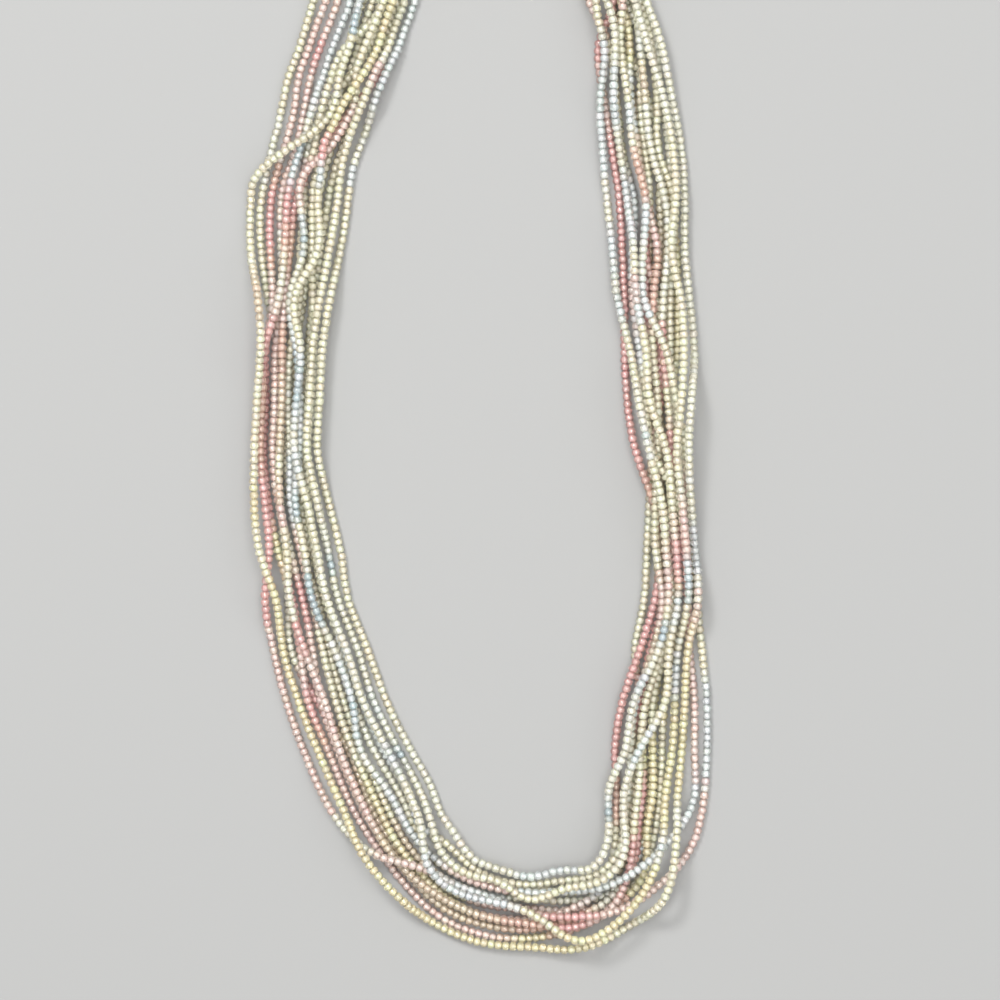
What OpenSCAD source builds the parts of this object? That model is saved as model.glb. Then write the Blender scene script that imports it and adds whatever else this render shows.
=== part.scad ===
// Multi strand necklace of glass seed beads, lying closed on a flat surface.
// Fourteen loose strands run side by side and over one another from one cup of
// the clasp, down the left side, round the bottom and up the right side to the
// other cup. Each strand is one tube, as thick as its string of beads on average.
// +X is to the right, +Y from the bottom of the loop to the clasp, +Z up.
// The origin is on the surface, under the middle of the whole loop.

/* [Strands] */
// Mean thickness of a string of beads in mm
string_d = 1.6; // [1.4:0.05:1.7]
// Clear space left between strands that touch in mm
rest_gap = 0.1; // [0.05:0.05:0.2]

/* [Clasp] */
// Whole length of the clasp with both cups in mm
clasp_l = 24; // [22:1:27]
// Depth of each cup in mm
cup_depth = 4; // [3:0.5:5]
// Wall of each cup in mm
cup_wall = 0.8; // [0.6:0.1:1.2]
// Diameter of the barrel between the cups in mm
barrel_d = 8; // [6:0.2:8.6]
// Length of the raised band round the barrel in mm
band_l = 3; // [2:0.5:5]

/* [Hidden] */
cream = [0.93, 0.88, 0.76];
pink = [0.88, 0.68, 0.66];
blue = [0.74, 0.80, 0.86];
brass = [0.80, 0.66, 0.36];

// The strands lie in five levels. Those of one level lie side by side and never
// cross, so each row of the tables below gives, after the place of the cut, one
// short list for each level, lowest first, and each list runs from the inner
// edge of the necklace to its outer edge.

// Left side, level cuts from the top down: [y, x of the strands of each level]
left_cuts = [
  [200, [74.5, 72.5, 62.5], [76, 67.5, 65], [79.5, 77.5], [77, 70], [83, 81, 79, 72]],
  [195, [72.5, 70.5, 61], [75.5, 65.5, 63], [77.5, 74], [75, 68], [81, 79, 77, 71]],
  [190, [71.5, 69.5, 59.5], [73.5, 63.5, 61.5], [77, 68.5], [73, 66], [79.5, 77.5, 75.5, 70]],
  [185, [69.5, 67.5, 57.5], [70, 62, 59.5], [75.5, 66.5], [71, 64.5], [77, 75, 73, 68]],
  [180, [70.5, 68.5, 56.5], [66.5, 61, 59], [72, 65], [71.5, 63], [75, 73, 69.5, 67.5]],
  [175, [70, 67.5, 55.5], [62.5, 60, 58], [68, 63.5], [69, 61.5], [73.5, 71, 67, 65]],
  [170, [68, 66, 54], [61.5, 59, 56.5], [65, 63], [66, 60], [71.5, 69, 64.5, 57.5]],
  [165, [66.5, 64.5, 53], [60.5, 57, 55], [63, 61], [60.5, 58.5], [70, 68, 64.5, 51]],
  [160, [65.5, 63.5, 52], [61, 56, 54], [62.5, 59], [60, 57.5], [69.5, 67.5, 63.5, 50]],
  [150, [64, 62, 52], [60, 56, 54], [62.5, 58], [61, 57], [68, 66, 64, 50]],
  [140, [62.5, 60.5, 53.5], [60, 56.5, 54.5], [62.5, 57], [58, 56], [66, 64, 59, 52]],
  [130, [61.5, 59, 55.5], [58, 55, 53], [63, 56.5], [59.5, 53], [64.5, 62.5, 60.5, 52.5]],
  [120, [61, 59, 55.5], [57.5, 55, 53], [62.5, 56.5], [60, 52.5], [64, 62, 59.5, 51.5]],
  [110, [60.5, 57, 55], [58, 54.5, 52.5], [61.5, 56], [60, 52], [63.5, 61.5, 59, 51]],
  [100, [60, 58, 56], [58, 55.5, 53.5], [61.5, 56], [59, 53], [65.5, 63.5, 61.5, 51]],
  [90, [62, 60, 56.5], [60, 58, 55.5], [63, 57.5], [61, 54], [68, 65.5, 63.5, 52]],
  [80, [65.5, 63.5, 57.5], [62.5, 60.5, 58.5], [65, 58], [62.5, 53], [69.5, 67.5, 65.5, 55.5]],
  [70, [68, 65.5, 58], [64.5, 62.5, 60], [69, 61], [67, 54.5], [73.5, 71.5, 69.5, 56.5]],
  [60, [70.5, 68.5, 63], [67, 64, 61.5], [72.5, 65], [70.5, 57], [77, 74.5, 72.5, 59.5]],
  [50, [74.5, 72, 69.5], [70.5, 67.5, 65.5], [76.5, 68], [72, 60.5], [82, 79.5, 77.5, 63.5]]
];

// Bottom, cuts turned round one pivot: [angle, distance of the strands from the pivot]
fan_pivot = [106, 48];
fan_cuts = [
  [195, [27, 30.5, 33.5], [32, 35, 37], [25, 34.5], [28.5, 41], [20.5, 23, 25, 38.5]],
  [210, [27, 30, 32.5], [31.5, 33.5, 35.5], [26, 33.5], [28, 36.5], [21, 23, 25, 38]],
  [225, [28, 30, 32], [31.5, 33.5, 35.5], [23.5, 33], [27.5, 30], [21, 25.5, 29, 37.5]],
  [240, [27, 29, 31], [32.5, 34.5, 36.5], [24.5, 32.5], [27, 29], [23, 26, 30, 38]],
  [255, [26, 28.5, 30.5], [32.5, 34.5, 36.5], [25, 32.5], [26.5, 28.5], [22.5, 24.5, 29, 38]],
  [270, [26, 28, 30], [32, 34, 36], [25, 32.5], [26.5, 30.5], [23.5, 28, 30, 37.5]],
  [285, [27.5, 29.5, 31.5], [31, 33, 35], [25, 34.5], [27, 32], [22.5, 26, 37, 39]],
  [300, [29.5, 31.5, 33.5], [29.5, 32, 34], [26.5, 33.5], [29, 34.5], [25, 27.5, 36, 39]],
  [315, [27.5, 30, 32], [24, 29.5, 32.5], [25.5, 28.5], [30.5, 35.5], [22, 26.5, 33.5, 38]],
  [330, [23, 27, 29], [20, 25, 27], [22, 24], [32, 37], [18, 21.5, 30.5, 33.5]],
  [345, [21.5, 25, 27], [18, 23.5, 25.5], [20.5, 22.5], [34, 36], [16.5, 19.5, 28, 30.5]]
];

// Right side, level cuts from the bottom up: [y, x of the strands of each level]
right_cuts = [
  [50, [126.5, 130.5, 132.5], [123, 128.5, 130.5], [126, 128], [139, 141.5], [125, 127.5, 134.5, 136.5]],
  [60, [128, 131, 133], [124.5, 128.5, 130.5], [127, 129], [139, 141.5], [126.5, 133, 135, 137]],
  [70, [127, 132.5, 134.5], [128, 130, 133], [130.5, 132.5], [138, 140.5], [131.5, 133.5, 135.5, 137.5]],
  [80, [129, 132, 135], [131, 133, 135], [132.5, 134.5], [137.5, 139.5], [133.5, 135.5, 137.5, 139.5]],
  [90, [129.5, 131.5, 133.5], [132, 134, 136], [131, 133.5], [137, 139], [133, 135, 137, 139]],
  [100, [130, 132, 134], [130.5, 132.5, 135.5], [131, 134], [135.5, 137.5], [132, 134, 136, 138]],
  [110, [130.5, 132.5, 134.5], [127, 131, 136], [131.5, 134], [130, 137], [129.5, 133, 135, 137.5]],
  [120, [130, 132, 134.5], [125.5, 132, 134], [131.5, 133.5], [129, 135], [127.5, 129.5, 136, 138]],
  [130, [130, 133.5, 135.5], [125, 132, 134], [130.5, 132.5], [128, 133], [126, 129, 136.5, 139]],
  [140, [129.5, 133, 135.5], [125, 131.5, 134], [130.5, 132.5], [126.5, 128.5], [123.5, 127, 136, 138]],
  [150, [130, 132.5, 135.5], [124.5, 129, 134.5], [131.5, 133.5], [126.5, 128.5], [122.5, 126.5, 134, 137]],
  [160, [130, 132, 134], [124, 130, 135], [129, 133], [127, 129], [121.5, 125.5, 135, 137]],
  [170, [128, 132, 134], [122.5, 129, 131.5], [127.5, 130], [124.5, 126.5], [120.5, 124, 134.5, 136.5]],
  [180, [127, 130, 132.5], [121, 128, 131.5], [126, 129], [123.5, 125.5], [120, 122.5, 132.5, 134.5]],
  [190, [124, 126, 131.5], [119.5, 128.5, 130.5], [126, 128], [122, 124], [121, 123, 129.5, 132.5]],
  [195, [124, 126, 130], [121, 127.5, 129.5], [125.5, 127.5], [120, 124], [119.5, 122.5, 128, 131]],
  [200, [122, 126, 128.5], [123, 125, 128], [124, 127], [117.5, 124.5], [119, 121, 126.5, 129]]
];

// The strands of each level, lowest level first
levels = [[0, 1, 2], [3, 4, 5], [6, 7], [8, 9], [10, 11, 12, 13]];
strands = [0:13];

// Both ends from the last level cuts to the clasp, mirrored about the clasp's middle:
// [distance from the mirror line, y, turn of the cut, part of the rise, part of the gathering]
loop_mid_x = 98;
side_out = 25.4;
clasp_y = 258.5;
neck_cuts = [
  [23.5, 208, 8, 0, 0.1],
  [23, 217, 0, 0, 0.25],
  [24, 226, -5, 0, 0.4],
  [25, 235, -3, 0, 0.6],
  [24.5, 243, 10, 0.1, 0.8],
  [22, 251, 30, 0.5, 0.9],
  [17.5, 256.5, 55, 0.8, 1],
  [clasp_l / 2 + 0.5, clasp_y, 90, 1, 1],
  [clasp_l / 2 - cup_depth + 0.3, clasp_y, 90, 1, 1]
];

// Seats of the strands in a cup, in steps to both sides of its middle
seats = [-1, 0, 1, -1, 0, 1, -1.5, -0.5, 0.5, 1.5, -1.5, -0.5, 0.5, 1.5];

// Middle of the whole loop, where the origin is
middle = [95.75, 136.65];

// Strands that touch are one pitch apart; the seats are a little wider apart
pitch = string_d + rest_gap;
seat = pitch + 0.1;

// In a cup the second and fourth layers lie straight on the ones below them and
// the third lies in the grooves of the second
pile = 2 * pitch + sqrt(pitch * pitch - seat * seat / 4);
pile_mid = (pile * pile + 1.25 * seat * seat) / (2 * pile);
cup_r = norm([seat, pile_mid]) + string_d / 2 + 0.3 + cup_wall;
rise = cup_r - pile_mid - string_d / 2;

// All cuts in one order, from the left cup to the right cup:
// [point that the lanes are measured from, outward angle, height of the ground, lane of each strand]
last_neck = len(neck_cuts) - 1;
last_right = len(right_cuts) - 1;
function lanes(row) = concat(row[1], row[2], row[3], row[4], row[5]);
function gathered(part, side, row) = [
  for (i = strands)
    (1 - part) * (side * lanes(row)[i] - side * loop_mid_x - side_out) + part * seat * seats[i]
];
function neck_cut(cut, side, row) = [
  [loop_mid_x + side * cut[0], cut[1]],
  side > 0 ? cut[2] : 180 - cut[2],
  rise * cut[3],
  gathered(cut[4], side, row)
];
cuts = [
  for (i = [last_neck:-1:0]) neck_cut(neck_cuts[i], -1, left_cuts[0]),
  for (row = left_cuts) [[0, row[0]], 180, 0, -lanes(row)],
  for (row = fan_cuts) [fan_pivot, row[0], 0, lanes(row)],
  for (row = right_cuts) [[0, row[0]], 0, 0, lanes(row)],
  for (i = [0:last_neck]) neck_cut(neck_cuts[i], 1, right_cuts[last_right])
];
last_cut = len(cuts) - 1;

// How near two strands come at a cut and at the cuts on both sides of it
function offset_at(k, a, b) = cuts[k][3][a] - cuts[k][3][b];
function crosses(k, j, a, b) = offset_at(k, a, b) * offset_at(j, a, b) <= 0;
function nearest(k, a, b) = min([
  for (j = [max(k - 1, 0):min(k + 1, last_cut)])
    crosses(k, j, a, b) ? 0 : abs(offset_at(j, a, b))
]);

// Each strand rests on the ground or on the strands of the levels below its own
function rest_on(k, i, under, heights) = max([
  cuts[k][2] + string_d / 2,
  for (j = under)
    let (near = nearest(k, i, j))
      if (near < pitch) heights[j] + sqrt(pitch * pitch - near * near)
]);
function heights_at(k, level = 0, heights = []) =
  level == len(levels)
    ? heights
    : heights_at(k, level + 1, concat(heights, [
        for (i = levels[level]) rest_on(k, i, [0:1:len(heights) - 1], heights)
      ]));
heights = [for (k = [0:last_cut]) heights_at(k)];

function route(i) = [
  for (k = [0:last_cut])
    let (
      cut = cuts[k],
      place = cut[0] + cut[3][i] * [cos(cut[1]), sin(cut[1])] - middle
    )
    [place.x, place.y, heights[k][i]]
];

// A tube swept along a route; its rings stand upright, square to the way ahead
sides = 8;
function flat(from, to) = [to.x - from.x, to.y - from.y] / norm([to.x - from.x, to.y - from.y]);
function ahead(path, k) =
  k == 0 ? flat(path[0], path[1])
  : k == last_cut ? flat(path[k - 1], path[k])
  : flat([0, 0], flat(path[k - 1], path[k]) + flat(path[k], path[k + 1]));
function ring(path, k) =
  let (way = ahead(path, k))
  [
    for (s = [0:sides - 1])
      let (turn = (s + 0.5) * 360 / sides)
      path[k] + string_d / 2 * [way.y * cos(turn), -way.x * cos(turn), sin(turn)]
  ];

module strand(i) {
  path = route(i);
  points = [for (k = [0:last_cut]) each ring(path, k)];
  walls = [
    for (k = [0:last_cut - 1], s = [0:sides - 1])
      let (a = k * sides + s, b = k * sides + (s + 1) % sides)
      each [[a, a + sides, b + sides], [a, b + sides, b]]
  ];
  start = [for (s = [0:sides - 1]) s];
  end = [for (s = [sides - 1:-1:0]) last_cut * sides + s];
  polyhedron(points, concat([start], walls, [end]));
}

module strand_1() {
  color(cream) strand(0);
}

module strand_2() {
  color(cream) strand(1);
}

module strand_3() {
  color(cream) strand(2);
}

module strand_4() {
  color(pink) strand(3);
}

module strand_5() {
  color(pink) strand(4);
}

module strand_6() {
  color(cream) strand(5);
}

module strand_7() {
  color(pink) strand(6);
}

module strand_8() {
  color(cream) strand(7);
}

module strand_9() {
  color(blue) strand(8);
}

module strand_10() {
  color(pink) strand(9);
}

module strand_11() {
  color(cream) strand(10);
}

module strand_12() {
  color(cream) strand(11);
}

module strand_13() {
  color(blue) strand(12);
}

module strand_14() {
  color(cream) strand(13);
}

// Barrel with a raised band and a cup at each end, turned in one piece
module clasp() {
  half = clasp_l / 2;
  floor_at = half - cup_depth;
  shoulder = floor_at - cup_wall;
  cup_in = cup_r - cup_wall;
  barrel_r = barrel_d / 2;
  band_r = barrel_r + 0.4;
  color(brass)
    translate([loop_mid_x - middle.x, clasp_y - middle.y, cup_r])
      rotate([0, 90, 0])
        rotate_extrude($fn = 48)
          polygon([
            [0, -floor_at], [cup_in, -floor_at], [cup_in, -half], [cup_r, -half],
            [cup_r, -shoulder], [barrel_r, 1 - shoulder], [barrel_r, -band_l / 2],
            [band_r, -band_l / 2], [band_r, band_l / 2], [barrel_r, band_l / 2],
            [barrel_r, shoulder - 1], [cup_r, shoulder],
            [cup_r, half], [cup_in, half], [cup_in, floor_at], [0, floor_at]
          ]);
}

strand_1();
strand_2();
strand_3();
strand_4();
strand_5();
strand_6();
strand_7();
strand_8();
strand_9();
strand_10();
strand_11();
strand_12();
strand_13();
strand_14();
clasp();
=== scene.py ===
import bpy
import numpy as np
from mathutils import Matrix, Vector


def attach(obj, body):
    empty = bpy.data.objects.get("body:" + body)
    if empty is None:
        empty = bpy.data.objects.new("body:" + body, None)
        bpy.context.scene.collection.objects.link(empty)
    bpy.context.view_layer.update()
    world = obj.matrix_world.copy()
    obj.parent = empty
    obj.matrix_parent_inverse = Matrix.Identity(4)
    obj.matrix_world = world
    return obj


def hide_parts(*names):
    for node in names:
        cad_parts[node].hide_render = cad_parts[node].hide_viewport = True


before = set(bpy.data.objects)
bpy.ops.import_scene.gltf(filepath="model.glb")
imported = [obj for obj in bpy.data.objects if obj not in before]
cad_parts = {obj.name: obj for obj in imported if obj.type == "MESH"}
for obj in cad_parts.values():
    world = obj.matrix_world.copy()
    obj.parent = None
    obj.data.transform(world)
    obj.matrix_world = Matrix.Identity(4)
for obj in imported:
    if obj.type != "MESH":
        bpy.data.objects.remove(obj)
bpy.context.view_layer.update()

# Sizes are in mm of the picture's window, x from its left edge, y up from its bottom edge and z up from
# the surface, until in_frame turns them into the frame's metres. MIDDLE is the frame's origin.
MM = 0.001
WINDOW = 200.0
MIDDLE = [95.75, 136.65]

# Diameter of the beads, outside and inside the clasp's cups
BEAD_D = 1.9
CUP_BEAD_D = 1.68

# Pitch of the beads, and the part of it that a bead takes up
BEAD_PITCH = 1.45
BEAD_FILL = 0.98

# A bead's section: place along the hole and distance from its axis, as parts of the bead's half length
# and of its radius. It runs over the outside from one mouth of the hole to the other.
BEAD_SECTION = np.array(
    [[-0.90, 0.36], [-0.98, 0.54], [-0.70, 0.84], [0.0, 1.0], [0.70, 0.84], [0.98, 0.54], [0.90, 0.36]]
)
BEAD_ROUND = 9

# How one bead differs from the next: its length, its lean, its place beside and above the route in mm,
# how much thinner it is, the cut that its colour is read at, its shade and its tint
LENGTH_SPREAD = 0.07
LEAN_SPREAD = 0.045
SIDE_SPREAD = 0.03
HEIGHT_SPREAD = 0.02
THIN_SPREAD = 0.022
CUT_SPREAD = 0.1
SHADE_SPREAD = 0.04
TINT_SPREAD = 0.008

# Thread: its diameter, how far it stops short of the route's ends, its rings and the points of a ring
THREAD_D = 0.36
THREAD_SHORT = 0.1
THREAD_RINGS = 400
THREAD_ROUND = 5

# Clasp, with the part's own sizes: its length, the depth and wall of its cups, its barrel and its band
CLASP_L = 24.0
CUP_DEPTH = 4.0
CUP_WALL = 0.8
BARREL_D = 8.0
BAND_L = 3.0

# Outer radius of a cup, the rise of the ground for the strings that run into it, and the clasp's middle
CUP_R = 5.26
CUP_RISE = 1.62
LOOP_MID_X = 98.0
CLASP_Y = 258.5

# Band: its height, and the number, slant and depth of its crossed knurls
BAND_RISE = 0.28
KNURLS = 24
KNURL_SLANT = 2.6
KNURL_DEPTH = 0.11

# Cove up to a cup, radius of the cup's outer edge, width of the worn stretch at a lip, and points round
COVE_L = 1.4
COVE_RISE = 0.75
EDGE_R = 0.35
WORN_WIDTH = 0.2
CLASP_ROUND = 96

# Point that the lights face, in metres
LIGHT_AIM = (0.004, -0.037, 0)

# Strings: the level of each, lowest first, and the colour of the record's slot that each belongs to. The
# random differences of each string have their own seed, counted from the first.
LEVEL_OF = np.repeat([0, 1, 2, 3, 4], [3, 3, 2, 2, 4])
STRING_COLOURS = ["cream", "cream", "cream", "pink", "pink", "cream", "pink", "cream", "blue", "pink",
                  "cream", "cream", "blue", "cream"]
FIRST_SEED = 40

# Each row of the tables of cuts gives, after the place of the cut, one list for each level, lowest first,
# and each list runs from the inner edge of the necklace to its outer edge, as in the part's own source.

# Left side, level cuts from the top down: y, then x of the strands of each level
LEFT_CUTS = [
    [200, [74.5, 72.5, 62.5], [76, 67.5, 65], [79.5, 77.5], [77, 70], [83, 81, 79, 72]],
    [195, [72.5, 70.5, 61], [75.5, 65.5, 63], [77.5, 74], [75, 68], [81, 79, 77, 71]],
    [190, [71.5, 69.5, 59.5], [73.5, 63.5, 61.5], [77, 68.5], [73, 66], [79.5, 77.5, 75.5, 70]],
    [185, [69.5, 67.5, 57.5], [70, 62, 59.5], [75.5, 66.5], [71, 64.5], [77, 75, 73, 68]],
    [180, [70.5, 68.5, 56.5], [66.5, 61, 59], [72, 65], [71.5, 63], [75, 73, 69.5, 67.5]],
    [175, [70, 67.5, 55.5], [62.5, 60, 58], [68, 63.5], [69, 61.5], [73.5, 71, 67, 65]],
    [170, [68, 66, 54], [61.5, 59, 56.5], [65, 63], [66, 60], [71.5, 69, 64.5, 57.5]],
    [165, [66.5, 64.5, 53], [60.5, 57, 55], [63, 61], [60.5, 58.5], [70, 68, 64.5, 51]],
    [160, [65.5, 63.5, 52], [61, 56, 54], [62.5, 59], [60, 57.5], [69.5, 67.5, 63.5, 50]],
    [150, [64, 62, 52], [60, 56, 54], [62.5, 58], [61, 57], [68, 66, 64, 50]],
    [140, [62.5, 60.5, 53.5], [60, 56.5, 54.5], [62.5, 57], [58, 56], [66, 64, 59, 52]],
    [130, [61.5, 59, 55.5], [58, 55, 53], [63, 56.5], [59.5, 53], [64.5, 62.5, 60.5, 52.5]],
    [120, [61, 59, 55.5], [57.5, 55, 53], [62.5, 56.5], [60, 52.5], [64, 62, 59.5, 51.5]],
    [110, [60.5, 57, 55], [58, 54.5, 52.5], [61.5, 56], [60, 52], [63.5, 61.5, 59, 51]],
    [100, [60, 58, 56], [58, 55.5, 53.5], [61.5, 56], [59, 53], [65.5, 63.5, 61.5, 51]],
    [90, [62, 60, 56.5], [60, 58, 55.5], [63, 57.5], [61, 54], [68, 65.5, 63.5, 52]],
    [80, [65.5, 63.5, 57.5], [62.5, 60.5, 58.5], [65, 58], [62.5, 53], [69.5, 67.5, 65.5, 55.5]],
    [70, [68, 65.5, 58], [64.5, 62.5, 60], [69, 61], [67, 54.5], [73.5, 71.5, 69.5, 56.5]],
    [60, [70.5, 68.5, 63], [67, 64, 61.5], [72.5, 65], [70.5, 57], [77, 74.5, 72.5, 59.5]],
    [50, [74.5, 72, 69.5], [70.5, 67.5, 65.5], [76.5, 68], [72, 60.5], [82, 79.5, 77.5, 63.5]],
]

# Bottom, cuts turned round one pivot: angle, then distance of the strands from the pivot
FAN_PIVOT = [106, 48]
FAN_CUTS = [
    [195, [27, 30.5, 33.5], [32, 35, 37], [25, 34.5], [28.5, 41], [20.5, 23, 25, 38.5]],
    [210, [27, 30, 32.5], [31.5, 33.5, 35.5], [26, 33.5], [28, 36.5], [21, 23, 25, 38]],
    [225, [28, 30, 32], [31.5, 33.5, 35.5], [23.5, 33], [27.5, 30], [21, 25.5, 29, 37.5]],
    [240, [27, 29, 31], [32.5, 34.5, 36.5], [24.5, 32.5], [27, 29], [23, 26, 30, 38]],
    [255, [26, 28.5, 30.5], [32.5, 34.5, 36.5], [25, 32.5], [26.5, 28.5], [22.5, 24.5, 29, 38]],
    [270, [26, 28, 30], [32, 34, 36], [25, 32.5], [26.5, 30.5], [23.5, 28, 30, 37.5]],
    [285, [27.5, 29.5, 31.5], [31, 33, 35], [25, 34.5], [27, 32], [22.5, 26, 37, 39]],
    [300, [29.5, 31.5, 33.5], [29.5, 32, 34], [26.5, 33.5], [29, 34.5], [25, 27.5, 36, 39]],
    [315, [27.5, 30, 32], [24, 29.5, 32.5], [25.5, 28.5], [30.5, 35.5], [22, 26.5, 33.5, 38]],
    [330, [23, 27, 29], [20, 25, 27], [22, 24], [32, 37], [18, 21.5, 30.5, 33.5]],
    [345, [21.5, 25, 27], [18, 23.5, 25.5], [20.5, 22.5], [34, 36], [16.5, 19.5, 28, 30.5]],
]

# Right side, level cuts from the bottom up: y, then x of the strands of each level
RIGHT_CUTS = [
    [50, [126.5, 130.5, 132.5], [123, 128.5, 130.5], [126, 128], [139, 141.5], [125, 127.5, 134.5, 136.5]],
    [60, [128, 131, 133], [124.5, 128.5, 130.5], [127, 129], [139, 141.5], [126.5, 133, 135, 137]],
    [70, [127, 132.5, 134.5], [128, 130, 133], [130.5, 132.5], [138, 140.5], [131.5, 133.5, 135.5, 137.5]],
    [80, [129, 132, 135], [131, 133, 135], [132.5, 134.5], [137.5, 139.5], [133.5, 135.5, 137.5, 139.5]],
    [90, [129.5, 131.5, 133.5], [132, 134, 136], [131, 133.5], [137, 139], [133, 135, 137, 139]],
    [100, [130, 132, 134], [130.5, 132.5, 135.5], [131, 134], [135.5, 137.5], [132, 134, 136, 138]],
    [110, [130.5, 132.5, 134.5], [127, 131, 136], [131.5, 134], [130, 137], [129.5, 133, 135, 137.5]],
    [120, [130, 132, 134.5], [125.5, 132, 134], [131.5, 133.5], [129, 135], [127.5, 129.5, 136, 138]],
    [130, [130, 133.5, 135.5], [125, 132, 134], [130.5, 132.5], [128, 133], [126, 129, 136.5, 139]],
    [140, [129.5, 133, 135.5], [125, 131.5, 134], [130.5, 132.5], [126.5, 128.5], [123.5, 127, 136, 138]],
    [150, [130, 132.5, 135.5], [124.5, 129, 134.5], [131.5, 133.5], [126.5, 128.5], [122.5, 126.5, 134, 137]],
    [160, [130, 132, 134], [124, 130, 135], [129, 133], [127, 129], [121.5, 125.5, 135, 137]],
    [170, [128, 132, 134], [122.5, 129, 131.5], [127.5, 130], [124.5, 126.5], [120.5, 124, 134.5, 136.5]],
    [180, [127, 130, 132.5], [121, 128, 131.5], [126, 129], [123.5, 125.5], [120, 122.5, 132.5, 134.5]],
    [190, [124, 126, 131.5], [119.5, 128.5, 130.5], [126, 128], [122, 124], [121, 123, 129.5, 132.5]],
    [195, [124, 126, 130], [121, 127.5, 129.5], [125.5, 127.5], [120, 124], [119.5, 122.5, 128, 131]],
    [200, [122, 126, 128.5], [123, 125, 128], [124, 127], [117.5, 124.5], [119, 121, 126.5, 129]],
]

# Both ends from the last level cuts to the clasp, mirrored about the clasp's middle: distance from the
# mirror line, y, turn of the cut, part of the rise, part of the gathering. SIDE_OUT is the distance from
# the mirror line at which the lanes of the last level cuts have their middle.
SIDE_OUT = 25.4
NECK_CUTS = [
    [23.5, 208, 8, 0, 0.1],
    [23, 217, 0, 0, 0.25],
    [24, 226, -5, 0, 0.4],
    [25, 235, -3, 0, 0.6],
    [24.5, 243, 10, 0.1, 0.8],
    [22, 251, 30, 0.5, 0.9],
    [17.5, 256.5, 55, 0.8, 1],
    [CLASP_L / 2 + 0.5, CLASP_Y, 90, 1, 1],
    [CLASP_L / 2 - CUP_DEPTH + 0.3, CLASP_Y, 90, 1, 1],
]

# Places of the strands side by side in a cup, in steps of SEAT
SEAT = 1.8
SEATS = [-1, 0, 1, -1, 0, 1, -1.5, -0.5, 0.5, 1.5, -1.5, -0.5, 0.5, 1.5]

# Glass colours, linear red, green and blue
GLASS = {
    "pearl": (0.95, 0.93, 0.81),
    "cream": (0.95, 0.91, 0.75),
    "butter": (0.945, 0.88, 0.65),
    "tan": (0.87, 0.77, 0.63),
    "blush": (0.95, 0.79, 0.73),
    "rose": (0.935, 0.64, 0.61),
    "salmon": (0.89, 0.68, 0.58),
    "ice": (0.87, 0.905, 0.895),
    "slate": (0.67, 0.75, 0.77),
}

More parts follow.
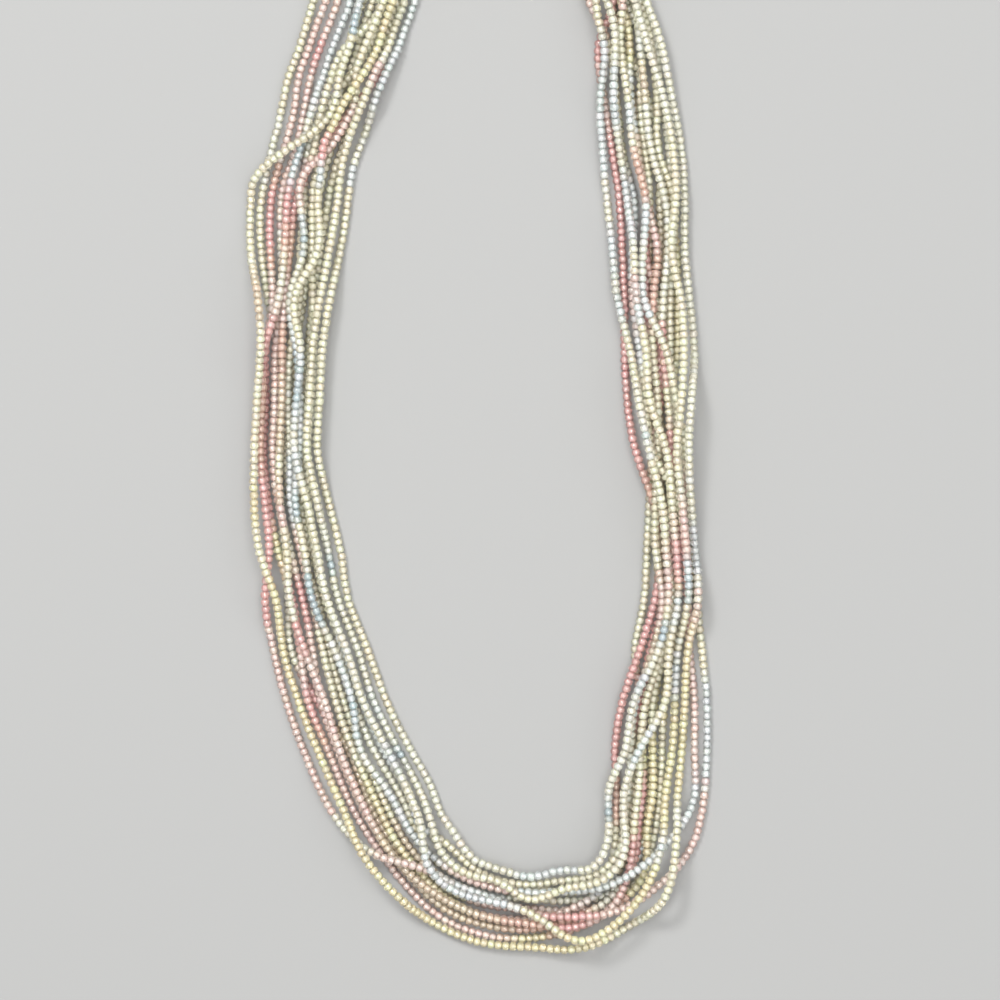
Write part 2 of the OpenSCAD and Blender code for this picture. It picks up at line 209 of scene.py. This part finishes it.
# Colour of each string from its left end to its right end: the cut that a run is counted from, and its
# glass. A run starts RUN_LEAD of a cut before its own cut, and a bead takes the mean of the glasses at
# three places, READ_STEPS from its own, within the limits DARKEST and LIGHTEST.
RUN_LEAD = 0.5
READ_STEPS = [-0.15, 0, 0.15]
DARKEST = 0.02
LIGHTEST = 0.95
BEAD_RUNS = [
    [(0, "cream"), (26, "pearl"), (30, "cream"), (36, "ice"), (37, "cream"), (41, "rose"), (42, "cream"),
     (46, "tan"), (49, "rose"), (50, "tan"), (51, "salmon"), (52, "tan")],
    [(0, "cream"), (30, "tan"), (32, "ice"), (34, "pearl"), (37, "ice"), (38, "butter"), (43, "blush"),
     (44, "cream"), (47, "tan"), (51, "cream")],
    [(0, "cream"), (14, "pearl"), (17, "cream"), (20, "blush"), (23, "pearl"), (27, "rose"), (28, "tan"),
     (31, "cream"), (33, "blush"), (37, "cream"), (41, "butter"), (44, "cream"), (46, "rose"),
     (47, "butter"), (52, "pearl")],
    [(0, "cream"), (13, "pearl"), (16, "blush"), (17, "cream"), (21, "pearl"), (22.5, "ice"), (24, "blush"),
     (26, "cream"), (29, "butter"), (33, "blush"), (36, "ice"), (37, "cream"), (38, "salmon"), (40, "rose"),
     (44, "tan"), (45, "salmon"), (46, "rose"), (53, "blush"), (54, "rose")],
    [(0, "blush"), (11, "rose"), (12, "blush"), (18, "pearl"), (19, "blush"), (24, "pearl"), (25, "rose"),
     (26, "blush"), (30, "tan"), (34, "salmon"), (36, "pearl"), (37, "rose"), (40, "butter"), (41, "rose"),
     (45, "tan"), (47, "rose"), (49, "cream"), (50, "rose"), (51, "cream"), (54, "pearl")],
    [(0, "blush"), (16, "salmon"), (17, "rose"), (18.5, "salmon"), (19, "blush"), (20, "rose"),
     (24, "butter"), (25, "rose"), (26.5, "blush"), (27.5, "rose"), (28, "salmon"), (28.5, "blush"),
     (34, "butter"), (35, "salmon"), (37, "butter"), (41, "cream"), (44, "rose"), (45, "cream")],
    [(0, "cream"), (12, "rose"), (16, "cream"), (20, "pearl"), (23, "cream"), (26, "ice"), (29, "cream"),
     (30, "ice"), (31, "cream"), (38, "pearl"), (41, "ice"), (42, "tan"), (43, "blush"), (44, "cream"),
     (49, "salmon"), (50.5, "blush"), (52, "tan"), (53, "ice"), (54, "butter")],
    [(0, "cream"), (16, "rose"), (18, "salmon"), (19, "blush"), (20, "salmon"), (21, "tan"),
     (22.5, "cream"), (23, "tan"), (23.5, "blush"), (24, "cream"), (25, "pearl"), (26, "rose"),
     (26.5, "blush"), (30, "tan"), (33.5, "salmon"), (35, "rose"), (36, "blush"), (37, "rose"),
     (38, "cream"), (44, "blush"), (45, "cream"), (46, "rose"), (47, "cream"), (48, "rose"),
     (49, "pearl"), (53.5, "tan"), (54, "cream"), (54.5, "ice"), (55, "pearl")],
    [(0, "cream"), (14, "blush"), (17.5, "pearl"), (18, "slate"), (18.5, "pearl"), (19.5, "ice"),
     (20.5, "slate"), (21, "ice"), (23.5, "slate"), (24, "cream"), (25, "slate"), (26, "pearl"),
     (26.5, "ice"), (27.5, "slate"), (28, "ice"), (28.5, "pearl"), (29, "ice"), (32, "blush"), (34, "ice"),
     (40, "blush"), (43, "rose"), (45, "cream"), (48, "ice"), (49, "blush"), (50, "ice"), (52, "cream"),
     (55, "blush")],
    [(0, "ice"), (14, "pearl"), (15, "slate"), (16, "ice"), (17, "rose"), (18, "salmon"), (18.5, "pearl"),
     (19.5, "blush"), (20, "rose"), (21, "salmon"), (23, "rose"), (26, "blush"), (29.5, "pearl"),
     (30.5, "blush"), (32, "ice"), (34, "blush"), (35, "rose"), (36, "blush"), (40, "ice"), (42, "cream"),
     (45, "blush"), (46, "cream"), (49, "ice"), (50, "pearl"), (50.5, "ice"), (51.5, "salmon"),
     (52.5, "pearl"), (53, "ice"), (53.5, "cream"), (56, "blush")],
    [(0, "ice"), (14, "pearl"), (16, "ice"), (17, "cream"), (28, "pearl"), (34, "ice"), (36, "pearl"),
     (38, "slate"), (38.5, "ice"), (39, "pearl"), (41.5, "ice"), (42, "pearl"), (42.5, "slate"),
     (43, "cream"), (43.5, "blush"), (44.5, "cream"), (46.5, "ice"), (47, "pearl"), (48, "cream"),
     (49, "ice"), (49.5, "pearl"), (50, "ice"), (51, "pearl"), (52, "ice"), (55, "cream")],
    [(0, "cream"), (12, "blush"), (13, "cream"), (23.5, "pearl"), (24.5, "slate"), (25, "pearl"),
     (27.5, "ice"), (28, "pearl"), (28.5, "slate"), (29, "pearl"), (32, "cream"), (37, "pearl"),
     (40, "ice"), (41, "pearl"), (41.5, "cream"), (43, "ice"), (43.5, "tan"), (44, "rose"), (44.5, "blush"),
     (45, "cream"), (49, "ice"), (49.5, "blush"), (50, "cream"), (50.5, "ice"), (52, "pearl"), (53, "ice"),
     (54, "pearl")],
    [(0, "butter"), (15, "rose"), (16, "ice"), (17, "cream"), (20.5, "ice"), (21, "slate"), (21.5, "ice"),
     (22, "pearl"), (22.5, "ice"), (23, "cream"), (24.5, "pearl"), (28.5, "ice"), (29, "pearl"),
     (31, "ice"), (34, "cream"), (35, "butter"), (38, "ice"), (38.5, "butter"), (41.5, "ice"),
     (42.5, "cream"), (43.5, "slate"), (44, "ice"), (44.5, "blush"), (45.5, "pearl"), (46, "cream"),
     (53, "pearl")],
    [(0, "ice"), (10, "slate"), (11, "cream"), (19, "tan"), (20, "cream"), (23, "butter"), (24, "cream"),
     (25, "butter"), (36, "cream"), (39, "pearl"), (39.5, "butter"), (43, "blush"), (43.5, "pearl"),
     (44, "ice"), (45, "pearl")],
]


def lanes_of(row):
    """The lanes of all fourteen strands of one cut, lowest level first, as one array."""
    return np.array([lane for level in row[1:] for lane in level], float)


def all_cuts():
    """Every cut from the left cup to the right cup, as five arrays: the point that its lanes are measured
    from, its outward angle, the height of its ground, its part of the gathering and its lanes."""

    def neck(cut, side, row):
        out, y, turn, lift, part = cut
        outward = turn if side > 0 else 180 - turn
        apart = side * (lanes_of(row) - LOOP_MID_X) - SIDE_OUT
        lane = (1 - part) * apart + part * SEAT * np.array(SEATS)
        return [LOOP_MID_X + side * out, y], outward, CUP_RISE * lift, part, lane

    rows = [neck(cut, -1, LEFT_CUTS[0]) for cut in NECK_CUTS[::-1]]
    rows += [([0, row[0]], 180, 0, 0, -lanes_of(row)) for row in LEFT_CUTS]
    rows += [(FAN_PIVOT, row[0], 0, 0, lanes_of(row)) for row in FAN_CUTS]
    rows += [([0, row[0]], 0, 0, 0, lanes_of(row)) for row in RIGHT_CUTS]
    rows += [neck(cut, 1, RIGHT_CUTS[-1]) for cut in NECK_CUTS]
    origin, angle, ground, part, lane = [np.array(column, float) for column in zip(*rows)]
    return origin, np.radians(angle), ground, part, lane


def strand_points():
    """Middle of every strand at every cut, and the diameter of the beads at each cut. A strand rests on
    the ground or, where one of a lower level lies within a bead's diameter of it at this cut or the next
    on either side, or crosses it in between, as high as two touching circles at that spacing put it."""
    origin, angle, ground, part, lane = all_cuts()
    across = BEAD_D + (CUP_BEAD_D - BEAD_D) * part
    gap = lane[:, :, None] - lane[:, None, :]
    near = np.abs(gap)
    for shift, edge in ((1, 0), (-1, -1)):
        other = np.roll(gap, shift, axis=0)
        other[edge] = gap[edge]
        near = np.minimum(near, np.where(gap * other <= 0, 0, np.abs(other)))
    height = np.zeros(lane.shape)
    for strand, level in enumerate(LEVEL_OF):
        rest = ground + across / 2
        for under in np.flatnonzero(LEVEL_OF < level):
            space = near[:, strand, under]
            on_top = height[:, under] + np.sqrt(np.maximum(across**2 - space**2, 0))
            rest = np.where(space < across, np.maximum(rest, on_top), rest)
        height[:, strand] = rest
    outward = np.stack([np.cos(angle), np.sin(angle)], -1)
    flat = origin[:, None] + lane[:, :, None] * outward[:, None]
    return np.concatenate([flat, height[:, :, None]], 2), across


def smooth_route(points, steps=16):
    """A curve through the points, and the cut number of each of its places. Flat places follow the
    Catmull-Rom cubic, and heights ease from one point to the next along 3t^2 - 2t^3, so that they never
    overshoot."""
    before = np.vstack([2 * points[0] - points[1], points[:-2]])
    after = np.vstack([points[2:], 2 * points[-1] - points[-2]])
    a, b, c, d = before[:, None], points[:-1, None], points[1:, None], after[:, None]
    t = (np.arange(steps) / steps)[None, :, None]
    bend = (2 * a - 5 * b + 4 * c - d) * t**2 + (3 * b - a - 3 * c + d) * t**3
    curve = 0.5 * (2 * b + (c - a) * t + bend)
    ease = 3 * t**2 - 2 * t**3
    curve[:, :, 2:] = b[:, :, 2:] * (1 - ease) + c[:, :, 2:] * ease
    cut = (np.arange(len(points) - 1)[:, None] + t[:, :, 0]).ravel()
    return np.vstack([curve.reshape(-1, 3), points[-1:]]), np.append(cut, len(points) - 1.0)


def distance_along(route):
    """Distance from the start of the route to each of its points."""
    return np.append(0, np.cumsum(np.linalg.norm(np.diff(route, axis=0), axis=1)))


def along(values, at, wanted):
    """Columns of values, known at the distances at, read by straight lines at the wanted distances."""
    return np.stack([np.interp(wanted, at, column) for column in values.T], -1)


def settled(route, cut, width=2.0, step=0.5):
    """The route as the string's own pull evens it out: read at even steps and averaged under a bell curve
    whose spread is width. Both ends are mirrored through their last points, so that they stay in place."""
    at = distance_along(route)
    even = np.linspace(0, at[-1], int(at[-1] / step) + 1)
    bell = np.exp(-0.5 * (np.arange(-3 * width, 3 * width + step, step) / width) ** 2)
    rim = len(bell) // 2
    longer = np.pad(along(route, at, even), ((rim, rim), (0, 0)), mode="reflect", reflect_type="odd")
    smooth = [np.convolve(column, bell / bell.sum(), "valid") for column in longer.T]
    return np.stack(smooth, -1), np.interp(even, at, cut)


def frames(way):
    """Each way ahead at length one, and two directions square to it: one level, to its right, and one
    upwards."""
    way = way / np.linalg.norm(way, axis=1, keepdims=True)
    side = np.cross(way, [0, 0, 1.0])
    side /= np.linalg.norm(side, axis=1, keepdims=True)
    return way, side, np.cross(side, way)


def circle_of(side, up, turn):
    """Directions that lie in the plane of side and up, at the angles turn round it."""
    return side[:, None] * np.cos(turn)[..., None] + up[:, None] * np.sin(turn)[..., None]


def in_frame(points):
    """The points in the frame's metres."""
    return (points - [*MIDDLE, 0]) * MM


def new_mesh(name, points, faces, groups=None, smooth=None):
    """A mesh from whole arrays: points, and a list of arrays of faces that each have one number of
    corners, with a material number and a smoothness for each face."""
    corners = np.concatenate([part.ravel() for part in faces])
    sizes = np.concatenate([np.full(len(part), part.shape[1]) for part in faces])
    mesh = bpy.data.meshes.new(name)
    mesh.vertices.add(len(points))
    mesh.vertices.foreach_set("co", np.ascontiguousarray(points, dtype=np.float32).ravel())
    mesh.loops.add(len(corners))
    mesh.loops.foreach_set("vertex_index", corners.astype(np.int32))
    mesh.polygons.add(len(sizes))
    mesh.polygons.foreach_set("loop_start", (np.cumsum(sizes) - sizes).astype(np.int32))
    if groups is not None:
        mesh.polygons.foreach_set("material_index", groups.astype(np.int32))
    mesh.polygons.foreach_set("use_smooth", np.zeros(len(sizes), bool) if smooth is None else smooth)
    mesh.update(calc_edges=True)
    thing = bpy.data.objects.new(name, mesh)
    bpy.context.scene.collection.objects.link(thing)
    return thing


def ring_faces(rows, around, closed_rows=False):
    """Four-sided faces of a grid of rows by around points whose rows close on themselves and, if asked,
    whose last row joins the first. They face outwards if the points turn from the right side upwards, seen
    along the rows."""
    row = np.arange(rows if closed_rows else rows - 1)[:, None] * around
    point = np.arange(around)[None, :]
    next_row, next_point = (row + around) % (rows * around), (point + 1) % around
    corners = [row + point, next_row + point, next_row + next_point, row + next_point]
    return np.stack(corners, -1).reshape(-1, 4)


def end_faces(rows, around):
    """One face that closes each end of a tube of rows by around points, facing away from the tube."""
    last = rows * around - 1
    return np.stack([np.arange(around), np.arange(last, last - around, -1)])


def paint(piece, name, values):
    """Gives each point of the piece a colour under that name."""
    colours = np.ones((len(values), 4))
    colours[:, :3] = values
    attribute = piece.data.color_attributes.new(name, "FLOAT_COLOR", "POINT")
    attribute.data.foreach_set("color", colours.ravel())


def bead_spacing(length, rng):
    """Middle and half length of each bead along a string of that length: even pitches with a seeded
    change, scaled so that together they are as long as the string."""
    count = int(length / BEAD_PITCH)
    pitch = length / count * (1 + rng.uniform(-LENGTH_SPREAD, LENGTH_SPREAD, count))
    ends = np.append(0, np.cumsum(pitch)) * length / pitch.sum()
    return (ends[1:] + ends[:-1]) / 2, (ends[1:] - ends[:-1]) / 2 * BEAD_FILL


def bead_places(route, at, mid, rng, reach=0.5):
    """Middle of each bead on the route, moved a little to the side and up, and its way, side and up, which
    are the route's own from reach before to reach after it, turned by a small seeded lean."""
    way, side, up = frames(along(route, at, mid + reach) - along(route, at, mid - reach))
    lean, nod = rng.normal(0, LEAN_SPREAD, (2, len(mid), 1))
    way, side, up = frames(way + lean * side + nod * up)
    sideways = side * rng.normal(0, SIDE_SPREAD, (len(mid), 1))
    upwards = up * rng.normal(0, HEIGHT_SPREAD, (len(mid), 1))
    return along(route, at, mid) + sideways + upwards, way, side, up


def bead_shells(place, way, side, up, half, radius, rng):
    """Points and faces of a string's beads, and which of the faces line a hole. Each bead is the section
    carried round its own hole in equal steps from a seeded turn, and closed through the hole."""
    count, per_bead = len(place), len(BEAD_SECTION) * BEAD_ROUND
    turn = rng.uniform(0, 2 * np.pi, count)[:, None] + np.arange(BEAD_ROUND) * 2 * np.pi / BEAD_ROUND
    axial = place[:, None] + way[:, None] * (half[:, None] * BEAD_SECTION[:, 0])[:, :, None]
    out = (radius[:, None] * BEAD_SECTION[:, 1])[:, :, None, None] * circle_of(side, up, turn)[:, None]
    one_bead = ring_faces(len(BEAD_SECTION), BEAD_ROUND, closed_rows=True)
    faces = one_bead[None] + (np.arange(count) * per_bead)[:, None, None]
    lining = np.tile(np.arange(per_bead) >= per_bead - BEAD_ROUND, count)
    return (axial[:, :, None] + out).reshape(-1, 3), faces.reshape(-1, 4), lining


def bead_tints(bead_cut, runs, rng):
    """Colour of each bead: the mean of the glasses at its own cut and a little before and after it, all
    moved by one seeded step so that runs pass into each other, with a small seeded shade and tint."""
    starts, glasses = zip(*runs)
    shades = np.array([GLASS[glass] for glass in glasses])
    count = len(bead_cut)
    read_at = bead_cut[:, None] + RUN_LEAD + rng.normal(0, CUT_SPREAD, (count, 1)) + np.array(READ_STEPS)
    tint = shades[np.maximum(np.searchsorted(starts, read_at, side="right") - 1, 0)].mean(1)
    tint = tint * (1 + rng.normal(0, SHADE_SPREAD, (count, 1)))
    tint = tint * (1 + rng.normal(0, TINT_SPREAD, (count, 3)))
    return np.clip(tint, DARKEST, LIGHTEST)


def thread_tube(route, at):
    """Points, side faces and end faces of the thread: a small ring carried along the route."""
    core = along(route, at, np.linspace(THREAD_SHORT, at[-1] - THREAD_SHORT, THREAD_RINGS))
    side, up = frames(np.gradient(core, axis=0))[1:]
    turn = np.arange(THREAD_ROUND)[None] * 2 * np.pi / THREAD_ROUND
    points = (core[:, None] + THREAD_D / 2 * circle_of(side, up, turn)).reshape(-1, 3)
    return points, ring_faces(THREAD_RINGS, THREAD_ROUND), end_faces(THREAD_RINGS, THREAD_ROUND)


def string_of_beads(name, points, across, runs, rng):
    """One string: closed beads threaded along the settled route through the points, each a little
    different in size, lean and tint, and a thread through all of them. Faces of the beads' outside have
    material 0, those of their holes 1 and those of the thread 2."""
    route, cut = settled(*smooth_route(points))
    at = distance_along(route)
    mid, half = bead_spacing(at[-1], rng)
    place, way, side, up = bead_places(route, at, mid, rng)
    bead_cut = np.interp(mid, at, cut)
    radius = np.interp(bead_cut, np.arange(len(points)), across) / 2
    radius = radius * (1 - np.abs(rng.normal(0, THIN_SPREAD, len(mid))))
    beads, bead_faces, lining = bead_shells(place, way, side, up, half, radius, rng)
    tints = np.repeat(bead_tints(bead_cut, runs, rng), len(BEAD_SECTION) * BEAD_ROUND, axis=0)

    thread, tube, ends = thread_tube(route, at)
    faces = [bead_faces, tube + len(beads), ends + len(beads)]
    groups = np.concatenate([np.where(lining, 1, 0), np.full(len(tube) + len(ends), 2)])
    smooth = np.concatenate([~lining, np.ones(len(tube), bool), np.zeros(len(ends), bool)])
    piece = new_mesh(name, in_frame(np.vstack([beads, thread])), faces, groups, smooth)
    paint(piece, "bead_tint", np.vstack([tints, np.ones((len(thread), 3))]))
    return piece


def arc(x, radius, r, start, end, steps):
    """Points of a round in the clasp's section: the place and radius of its centre, its own radius r, and
    the angles that it turns between. Angle 0 points away from the axis, and 90 along it."""
    bend = np.radians(np.linspace(start, end, steps))
    return np.stack([x + r * np.sin(bend), radius + r * np.cos(bend)], -1)


def groove(x, floor, radius, depth, bevel=0.1):
    """Points of a groove in the clasp's section, from its first edge at x: bevel, floor and bevel."""
    at = x + np.cumsum([0, bevel, floor, bevel])
    return np.stack([at, radius - depth * np.array([0, 1, 1, 0])], -1)


def clasp_section():
    """Half of the clasp's section, place along the axis and radius: from the middle of the band over its
    bevel, a groove, the plain barrel, a cubic cove, the cup's rounded outer edge, another groove and the
    lip, a half circle, to the bevelled floor of the cup."""
    half, floor_at, band_end = CLASP_L / 2, CLASP_L / 2 - CUP_DEPTH, BAND_L / 2
    shoulder, inside, barrel = floor_at - CUP_WALL, CUP_R - CUP_WALL, BARREL_D / 2
    bevel, drop, chamfer = 0.12, 0.08, 0.3
    band = np.stack([np.linspace(0, band_end - bevel, 10), np.full(10, barrel + BAND_RISE)], -1)
    band_edge = [[band_end, barrel + BAND_RISE - drop], [band_end, barrel]]
    barrel_groove = groove(band_end + 0.5, floor=0.2, radius=barrel, depth=0.12)
    plain = [[band_end + 2.2, barrel]]
    sweep = np.linspace(0, 1, 7)
    cove = np.stack([shoulder - COVE_L + COVE_L * sweep, barrel + COVE_RISE * sweep**3], -1)
    foot = arc(shoulder + EDGE_R, CUP_R - EDGE_R, EDGE_R, -90, 0, 5)
    cup_groove = groove(half - 2.4, floor=0.3, radius=CUP_R, depth=0.14)
    lip = arc(half - CUP_WALL / 2, CUP_R - CUP_WALL / 2, CUP_WALL / 2, 0, 180, 9)
    well = [[floor_at + chamfer, inside], [floor_at, inside - chamfer]]
    return np.vstack([band, band_edge, barrel_groove, plain, cove, foot, cup_groove, lip, well])


def turned_clasp(name):
    """The clasp, turned about its own axis: its half section and the mirror of it, carried round in equal
    steps, with the band's radius raised and lowered by the product of two slanting sines as crossed
    knurling. The worn attribute is a bell curve at the lips and follows the tops of the knurls."""
    side = clasp_section()
    section = np.vstack([side[:0:-1] * [-1, 1], side])
    angle = np.arange(CLASP_ROUND) * 2 * np.pi / CLASP_ROUND
    along_axis = section[:, :1]
    on_band = np.abs(along_axis) < BAND_L / 2
    slant = KNURL_SLANT * along_axis
    crossed = np.where(on_band, np.sin(KNURLS * angle + slant) * np.sin(KNURLS * angle - slant), 0)
    radius = section[:, 1:] + KNURL_DEPTH * crossed
    x = np.repeat(along_axis, CLASP_ROUND, axis=1) + LOOP_MID_X
    points = np.stack([x, CLASP_Y - radius * np.cos(angle), CUP_R + radius * np.sin(angle)], -1)
    tube, ends = ring_faces(len(section), CLASP_ROUND), end_faces(len(section), CLASP_ROUND)
    smooth = np.concatenate([np.ones(len(tube), bool), np.zeros(len(ends), bool)])
    piece = new_mesh(name, in_frame(points.reshape(-1, 3)), [tube, ends], smooth=smooth)
    at_lip = np.exp(-0.5 * ((np.abs(along_axis) - CLASP_L / 2) / WORN_WIDTH) ** 2)
    worn = np.clip(np.clip(crossed, 0, 1) + at_lip, 0, 1)
    paint(piece, "worn", np.repeat(worn.reshape(-1, 1), 3, axis=1))
    return piece


def fill(tree, target, inputs):
    """Gives a node its inputs: an output of another node is linked, and anything else is a constant."""
    for name, value in inputs.items():
        if isinstance(value, bpy.types.NodeSocket):
            tree.links.new(value, target.inputs[name])
        else:
            target.inputs[name].default_value = value


def node(tree, kind, inputs, **settings):
    """A node of that kind with its inputs and settings."""
    new = tree.nodes.new(kind)
    for name, value in settings.items():
        setattr(new, name, value)
    fill(tree, new, inputs)
    return new


def material(name):
    """A new material, the tree of its nodes and its main shader."""
    made = bpy.data.materials.new(name)
    made.use_nodes = True
    return made, made.node_tree, made.node_tree.nodes["Principled BSDF"]


def painted(tree, name, output="Color"):
    """What the piece's points hold under that name, as a colour or as a factor."""
    return node(tree, "ShaderNodeAttribute", {}, attribute_name=name).outputs[output]


def noise(tree, scale, detail=2.0, stretch=(1, 1, 1)):
    """Noise from 0 to 1 over the object's own coordinates, which are stretched first."""
    where = node(tree, "ShaderNodeTexCoord", {}).outputs["Object"]
    place = node(tree, "ShaderNodeMapping", {"Vector": where, "Scale": stretch})
    inputs = {"Vector": place.outputs["Vector"], "Scale": scale, "Detail": detail}
    return node(tree, "ShaderNodeTexNoise", inputs).outputs["Fac"]


def between(tree, amount, low, high):
    """A value that goes from low to high as the amount goes from 0 to 1."""
    new = node(tree, "ShaderNodeMapRange", {"Value": amount, "To Min": low, "To Max": high})
    return new.outputs["Result"]


def mixed(tree, amount, first, second):
    """A colour that goes from the first to the second as the amount goes from 0 to 1. A mix of colours
    has the inputs 0, 6 and 7 and the output 2."""
    return node(tree, "ShaderNodeMix", {0: amount, 6: first, 7: second}, data_type="RGBA").outputs[2]


def ramp(tree, amount, low, high, low_at=0.0, high_at=1.0):
    """A colour that goes from low to high as the amount goes from low_at to high_at."""
    new = node(tree, "ShaderNodeValToRGB", {"Fac": amount})
    first, last = new.color_ramp.elements
    first.position, first.color = low_at, (*low, 1)
    last.position, last.color = high_at, (*high, 1)
    return new.outputs["Color"]


def bump(tree, height, strength, distance):
    """The surface's direction where the height, times that distance in metres, ripples it."""
    new = node(tree, "ShaderNodeBump", {"Height": height, "Strength": strength, "Distance": distance})
    return new.outputs["Normal"]


def bead_glass(name):
    """Milky tinted glass: pale where it faces the eye and deeper in its own tint, the tint squared,
    towards the rim, where one looks through more glass. Fine noise clouds the glass, changes its gloss and
    ripples its tumbled surface."""
    made, tree, shader = material(name)
    tint = painted(tree, "bead_tint")
    clouds = noise(tree, 1400, detail=3)
    deep = node(tree, "ShaderNodeGamma", {"Color": tint, "Gamma": 2.0}).outputs["Color"]
    rim = node(tree, "ShaderNodeLayerWeight", {"Blend": 0.45}).outputs["Facing"]
    depth = node(tree, "ShaderNodeMath", {0: clouds, 1: 0.35, 2: rim}, operation="MULTIPLY_ADD")
    through = node(tree, "ShaderNodeMapRange", {"Value": depth.outputs[0], "From Min": 0.2})
    fill(tree, shader, {
        "Base Color": mixed(tree, through.outputs["Result"], tint, deep),
        "Roughness": between(tree, clouds, 0.05, 0.2),
        "Normal": bump(tree, clouds, 0.15, 0.00005),
        "Transmission Weight": 0.7,
        "IOR": 1.5,
        "Coat Weight": 0.7,
        "Coat Roughness": 0.04,
    })
    return made


def bead_lining(name):
    """Coloured lining of the hole, a shade lighter than the glass, mottled by noise."""
    made, tree, shader = material(name)
    pale = between(tree, noise(tree, 2600), 0.25, 0.75)
    fill(tree, shader, {
        "Base Color": mixed(tree, pale, painted(tree, "bead_tint"), (1, 1, 1, 1)),
        "Roughness": 0.3,
        "Specular IOR Level": 0.5,
    })
    return made


def thread_fibre(name):
    """Pale thread with painted shade: fine noise makes it darker in patches that stand for the shaded valleys
    between its fibre strands.
    """
    made, tree, shader = material(name)
    # Painted shade: the dark end of this ramp stands for shade in the valleys between fibre strands
    fibre_tone_and_painted_shade = ramp(tree, noise(tree, 5000), (0.55, 0.52, 0.46), (0.86, 0.84, 0.78))
    fill(tree, shader, {"Base Color": fibre_tone_and_painted_shade, "Roughness": 0.8})
    return made


def turned_brass(name):
    """Turned brass: fine rings left by the tool round the axis, patches of dull tarnish that change its
    colour and gloss, and brighter metal where the worn attribute marks rubbed edges."""
    made, tree, shader = material(name)
    rings = noise(tree, 1, detail=4, stretch=(9000, 500, 500))
    patch = noise(tree, 260, detail=5)
    tarnish = ramp(tree, patch, (0.50, 0.34, 0.13), (0.80, 0.60, 0.28), 0.3, 0.7)
    fill(tree, shader, {
        "Base Color": mixed(tree, painted(tree, "worn", "Fac"), tarnish, (0.92, 0.76, 0.44, 1)),
        "Roughness": between(tree, patch, 0.42, 0.20),
        "Normal": bump(tree, rings, 0.35, 0.00003),
        "Metallic": 1.0,
    })
    return made


lining = bead_lining("bead lining")
fibre = thread_fibre("stringing thread")
glass = {colour: bead_glass(f"{colour} beads glass") for colour in ("cream", "pink", "blue")}
points, across = strand_points()
for number, (colour, runs) in enumerate(zip(STRING_COLOURS, BEAD_RUNS)):
    rng = np.random.default_rng(FIRST_SEED + number)
    string = string_of_beads(f"bead_string_{number + 1}", points[:, number], across, runs, rng)
    for finish in (glass[colour], lining, fibre):
        string.data.materials.append(finish)
    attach(string, "root")
    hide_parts(f"strand_{number + 1}")

clasp = turned_clasp("barrel_clasp")
clasp.data.materials.append(turned_brass("turned brass"))
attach(clasp, "root")
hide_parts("clasp")


def pale_floor(name, reach=2.0):
    """A square floor round the origin, as far as reach each way."""
    corners = np.array([[-1, -1, 0], [1, -1, 0], [1, 1, 0], [-1, 1, 0]]) * reach
    floor = new_mesh(name, corners, [np.array([[0, 1, 2, 3]])])
    made, tree, shader = material("pale floor")
    fill(tree, shader, {"Base Color": (0.33, 0.33, 0.325, 1), "Roughness": 0.9})
    floor.data.materials.append(made)
    return floor


def soft_light(name, place, size, power):
    """A square area light over the necklace that faces LIGHT_AIM."""
    lamp = bpy.data.lights.new(name, "AREA")
    lamp.size, lamp.energy = size, power
    thing = bpy.data.objects.new(name, lamp)
    bpy.context.scene.collection.objects.link(thing)
    thing.location = place
    thing.rotation_euler = (Vector(LIGHT_AIM) - Vector(place)).to_track_quat("-Z", "Y").to_euler()


def camera_above(name, sensor=36, lens=108, bead_height=3.0):
    """A camera that looks straight down on the middle of the window, so far up that the window's width
    fills the picture at the beads' height."""
    camera = bpy.data.objects.new(name, bpy.data.cameras.new(name))
    bpy.context.scene.collection.objects.link(camera)
    camera.location = in_frame(np.array([WINDOW / 2, WINDOW / 2, bead_height + WINDOW * lens / sensor]))
    camera.data.sensor_width = sensor
    camera.data.lens = lens
    return camera


# Pale floor and soft studio light, placed in metres
pale_floor("studio_floor")
soft_light("key_light", (-0.35, 0.45, 0.9), 0.25, 7)
soft_light("fill_light", (0.7, -0.3, 0.8), 0.9, 2.5)
soft_light("top_light", (0.05, 0.06, 1.2), 0.7, 12)
world = bpy.data.worlds.new("studio air")
world.use_nodes = True
fill(world.node_tree, world.node_tree.nodes["Background"], {"Color": (1, 1, 1, 1), "Strength": 0.5})
bpy.context.scene.world = world
bpy.context.scene.camera = camera_above("camera")
bpy.context.scene.view_settings.view_transform = "Standard"
